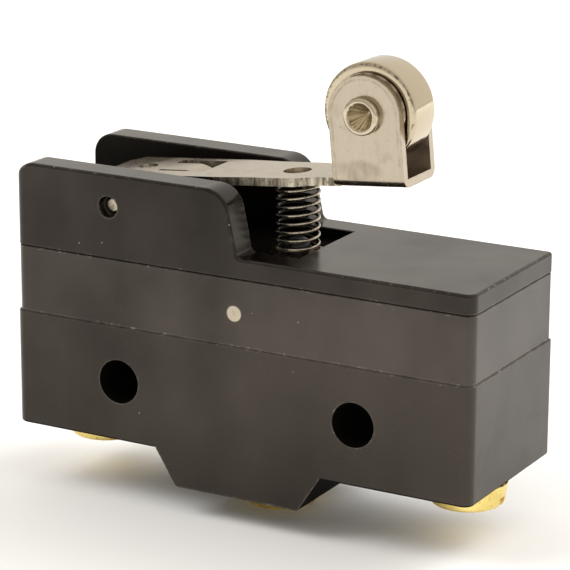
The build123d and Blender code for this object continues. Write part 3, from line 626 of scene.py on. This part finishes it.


# ---------------------------------------------------------------------------------------------------
# Return spring: drawn steel wire, coiled with a closed turn at each end. It stands on its seat round
# the plunger's stem and holds the lever up round the dimple.

spring_low, spring_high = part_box("return_spring")
spring_x = (spring_low.x + spring_high.x) / 2
wire_r = 0.17 * MM
coil_r = (spring_high.x - spring_low.x) / 2 - wire_r
coil_turns = 8.15
closed_turns = 0.6
closed_share = 0.55        # a closed turn climbs this share of a free one
start_angle = 0.6
waist = 0.02               # the middle turns are this share narrower
cut_end = 0.8              # share of the wire's radius left at its cut ends
ring_points = 12
steps_per_turn = 40
spring_floor = spring_low.z + wire_r
spring_rise = spring_high.z - wire_r - spring_floor


def coil_climb(turn):
    """Climb at this turn, unscaled: slow over the closed turns at both ends."""
    low = min(turn, closed_turns)
    high = max(0.0, turn - (coil_turns - closed_turns))
    free = turn - low - high
    return free + closed_share * (low + high)


spring_mesh = bmesh.new()
rings = []
steps = int(coil_turns * steps_per_turn)
full_climb = coil_climb(coil_turns)
for step in range(steps + 1):
    turn = coil_turns * step / steps
    angle = 2 * pi * turn + start_angle
    share = coil_climb(turn) / full_climb
    swell = 1 - waist * sin(pi * share)
    outward = Vector((cos(angle), sin(angle), 0))
    climb = share * spring_rise
    lean = share * tan(lever_tilt) * coil_r * (cos(angle) - 1) * 0.9
    centre = Vector((spring_x, 0, spring_floor + climb + max(lean, -climb))) + outward * coil_r * swell
    taper = 1.0 if 3 < step < steps - 3 else cut_end
    ring = []
    for k in range(ring_points):
        round_angle = 2 * pi * k / ring_points
        ring.append(spring_mesh.verts.new(
            centre + (outward * cos(round_angle) + Vector((0, 0, sin(round_angle)))) * wire_r * taper))
    rings.append(ring)
for ring, after in zip(rings, rings[1:]):
    for k in range(ring_points):
        spring_mesh.faces.new((ring[k], ring[(k + 1) % ring_points], after[(k + 1) % ring_points], after[k]))
spring_mesh.faces.new(rings[0])
spring_mesh.faces.new(reversed(rings[-1]))
bmesh.ops.recalc_face_normals(spring_mesh, faces=spring_mesh.faces)
spring_data = bpy.data.meshes.new("coil_spring")
spring_mesh.to_mesh(spring_data)
spring_mesh.free()
spring = bpy.data.objects.new("coil_spring", spring_data)
bpy.context.scene.collection.objects.link(spring)
smooth_by_angle(spring, 50)

spring_wire, tree, shader = start_material("spring_wire")
drawn = object_noise(tree, 2600.0, detail=4)
wire_tone = blend_colours(tree, span(tree, drawn, 0.35, 0.7, 0.0, 1.0),
                          (0.62, 0.56, 0.46, 1), (0.32, 0.275, 0.21, 1))
place = add_node(tree, "ShaderNodeTexCoord").outputs["Object"]
from_axis = add_node(tree, "ShaderNodeVectorMath", {0: place, 1: (spring_x, 0, 0)}, operation="SUBTRACT")
flat = add_node(tree, "ShaderNodeVectorMath", {0: from_axis.outputs[0], 1: (1, 1, 0)}, operation="MULTIPLY")
from_axis_r = add_node(tree, "ShaderNodeVectorMath", {0: flat.outputs[0]}, operation="LENGTH")
# Painted shade: the side of the wire facing the coil's axis is painted near black.
inside = span(tree, from_axis_r.outputs["Value"], coil_r, coil_r + wire_r * 0.45, 0.97, 0.0)
wire_tone = blend_colours(tree, inside, wire_tone, (0.012, 0.010, 0.008, 1))
tree.links.new(wire_tone, shader.inputs["Base Color"])
tree.links.new(span(tree, drawn, 0.3, 0.7, 0.18, 0.34), shader.inputs["Roughness"])
shader.inputs["Metallic"].default_value = 1.0
set_height(tree, shader, drawn, 0.4, 0.008 * MM)
spring.data.materials.append(spring_wire)
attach(spring, "plunger")
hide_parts("return_spring")
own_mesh(spring)


# ---------------------------------------------------------------------------------------------------
# Pins and seat: the hinge pin is cropped steel wire sunk in the ears, the cover pins are flush rivets
# of the same wire, and the spring's seat is a pressed ring on the plunger.

cropped_steel = plated_material("cropped_steel", (0.52, 0.46, 0.36, 1), (0.26, 0.215, 0.15, 1),
                                0.28, 0.5, 0.04 * MM, 1200.0, 1600.0)
pin_low, pin_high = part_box("hinge_pin")
pin_r = (pin_high.z - pin_low.z) / 2
pin_half = (pin_high.y - pin_low.y) / 2
crown_r, crown, chamfer = pin_r * 0.8, 0.02 * MM, 0.2 * MM
pin = turned("lever_hinge_pin", rounded_outline([
    (0.0, -pin_half), (crown_r, -pin_half + crown), (pin_r, -pin_half + chamfer),
    (pin_r, pin_half - chamfer), (crown_r, pin_half - crown), (0.0, pin_half)], 0.1 * MM), hinge, across, 48)
pin.data.materials.append(cropped_steel)
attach(pin, "housing")
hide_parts("hinge_pin")
for name in ("front_cover_pin", "back_cover_pin"):
    dress(name, cropped_steel)
dress("spring_seat", satin_nickel)


# ---------------------------------------------------------------------------------------------------
# Terminal screws: cold-headed brass, with a slot cut across a slightly tapered head. Handling and the
# barrel leave small dents and dull patches on the bright metal.

def brass_material(name, bright, dull, smooth, rough, relief):
    """Brass with dull patches and fine dents."""
    made, tree, shader = start_material(name)
    patches = object_noise(tree, 520.0, detail=7, rough=0.65)
    dents = object_noise(tree, 1500.0, detail=4)
    worn = use_group(tree, edge_wear, width=0.2 * MM, breakup=1400.0)
    tone = blend_colours(tree, span(tree, patches, 0.46, 0.70, 0.0, 1.0), bright, dull)
    spots = span(tree, dents, 0.63, 0.72, 0.0, 0.7)
    tone = blend_colours(tree, spots, tone, (0.30, 0.19, 0.05, 1))
    tone = blend_colours(tree, multiply(tree, worn.outputs["Mask"], 0.5), tone, (0.95, 0.80, 0.42, 1))
    tree.links.new(tone, shader.inputs["Base Color"])
    tree.links.new(span(tree, patches, 0.3, 0.7, smooth, rough), shader.inputs["Roughness"])
    shader.inputs["Metallic"].default_value = 1.0
    set_height(tree, shader, dents, 0.7, relief)
    return made


screw_brass = brass_material("screw_brass", (0.95, 0.76, 0.27, 1), (0.80, 0.58, 0.16, 1),
                             0.22, 0.36, 0.04 * MM)
strip_brass = brass_material("strip_brass", (0.84, 0.64, 0.27, 1), (0.66, 0.46, 0.17, 1),
                             0.25, 0.4, 0.02 * MM)
for side in ("common", "no", "nc"):
    screw = detailed_copy(side + "_terminal_screw", side + "_screw", 0.08 * MM)
    screw.data.materials.append(screw_brass)
    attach(screw, "housing")
    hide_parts(side + "_screw")
    dress(side + "_terminal", strip_brass)


# ---------------------------------------------------------------------------------------------------
# Washers: toothed steel, zinc plated, one under each screw's head.

zinc = plated_material("zinc_plating", (0.62, 0.62, 0.60, 1), (0.42, 0.40, 0.36, 1),
                       0.25, 0.42, 0.02 * MM, 600.0, 1400.0)
for side in ("common", "no", "nc"):
    washer = detailed_copy(side + "_toothed_washer", side + "_washer", 0.05 * MM, segments=2)
    washer.data.materials.append(zinc)
    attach(washer, "housing")
    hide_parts(side + "_washer")


# ---------------------------------------------------------------------------------------------------
# Contacts inside: a copper-alloy snap blade on a riveted brass anchor, with silver contacts that meet
# inside the closed case.

blade_copper = brass_material("blade_copper", (0.80, 0.46, 0.27, 1), (0.55, 0.28, 0.14, 1),
                              0.2, 0.34, 0.01 * MM)
contact_silver = plated_material("contact_silver", (0.86, 0.85, 0.81, 1), (0.52, 0.48, 0.42, 1),
                                 0.16, 0.32, 0.01 * MM, 900.0, 1500.0)
dress("snap_blade", blade_copper)
for name in ("blade_anchor", "anchor_rivet_left", "anchor_rivet_right"):
    dress(name, strip_brass)
for name in ("moving_contact", "no_contact", "nc_contact"):
    dress(name, contact_silver)


# ---------------------------------------------------------------------------------------------------
# Studio: a plain pale floor under soft, even light. Two large soft boxes, at the upper left and behind,
# don't show in the metal, and a long-lens camera looks a little down at the case.

floor_level = cad_bounds[0][2]
floor_half = 3.0
floor_mesh = bpy.data.meshes.new("studio_floor")
floor_mesh.from_pydata(
    [(x * floor_half, y * floor_half, floor_level) for x, y in ((-1, -1), (1, -1), (1, 1), (-1, 1))],
    [], [(0, 1, 2, 3)])
floor = bpy.data.objects.new("studio_floor", floor_mesh)
bpy.context.scene.collection.objects.link(floor)
paper, tree, shader = start_material("pale_paper")
paper_tone = blend_colours(tree, object_noise(tree, 6.0), (0.93, 0.93, 0.93, 1), (0.95, 0.95, 0.95, 1))
tree.links.new(paper_tone, shader.inputs["Base Color"])
shader.inputs["Roughness"].default_value = 0.9
shader.inputs["Specular IOR Level"].default_value = 0.1
floor.data.materials.append(paper)

world = bpy.data.worlds.new("soft_studio")
world.use_nodes = True
bpy.context.scene.world = world
sky = world.node_tree
background = sky.nodes["Background"]
brightest = (0.40, 0.89, 0.22)      # towards the bright wall behind the case
direction = add_node(sky, "ShaderNodeTexCoord").outputs["Generated"]
facing = add_node(sky, "ShaderNodeVectorMath", {0: direction, 1: brightest}, operation="DOT_PRODUCT")
glow = span(sky, facing.outputs["Value"], -0.8, 0.9, 0.60, 1.02)
sky.links.new(glow, background.inputs["Strength"])
background.inputs["Color"].default_value = (1.0, 0.95, 0.87, 1)


def soft_box(name, place, size, watts):
    """A square area light that faces the switch."""
    lamp = bpy.data.lights.new(name, "AREA")
    lamp.size = size
    lamp.energy = watts
    made = bpy.data.objects.new(name, lamp)
    bpy.context.scene.collection.objects.link(made)
    made.location = place
    made.rotation_euler = (Vector((0, 0, 0)) - Vector(place)).to_track_quat("-Z", "Y").to_euler()
    return made


key_light = soft_box("soft_box_left", (-0.45, -0.36, 0.62), 0.45, 3.0)
floor_light = soft_box("soft_box_back", (0.42, 0.55, 0.55), 0.6, 5.0)
key_light.visible_glossy = False
floor_light.visible_glossy = False

azimuth = radians(29.19)
elevation = radians(16.28)
roll = radians(0.28)
camera_distance = 0.26837
target = Vector((0.645, 0.0, 9.435)) * MM
back = Vector((sin(azimuth) * cos(elevation), -cos(azimuth) * cos(elevation), sin(elevation)))
level_right = Vector((cos(azimuth), sin(azimuth), 0))
level_up = back.cross(level_right)
right = level_right * cos(roll) + level_up * sin(roll)
up = level_up * cos(roll) - level_right * sin(roll)
camera_data = bpy.data.cameras.new("studio_camera")
camera_data.lens = 177.7
camera_data.sensor_width = 36.0
camera_data.clip_start = 0.01
camera = bpy.data.objects.new("studio_camera", camera_data)
bpy.context.scene.collection.objects.link(camera)
facing_case = Matrix((right, up, back)).transposed().to_4x4()
camera.matrix_world = Matrix.Translation(target + back * camera_distance) @ facing_case
bpy.context.scene.camera = camera
bpy.context.scene.view_settings.view_transform = "Standard"
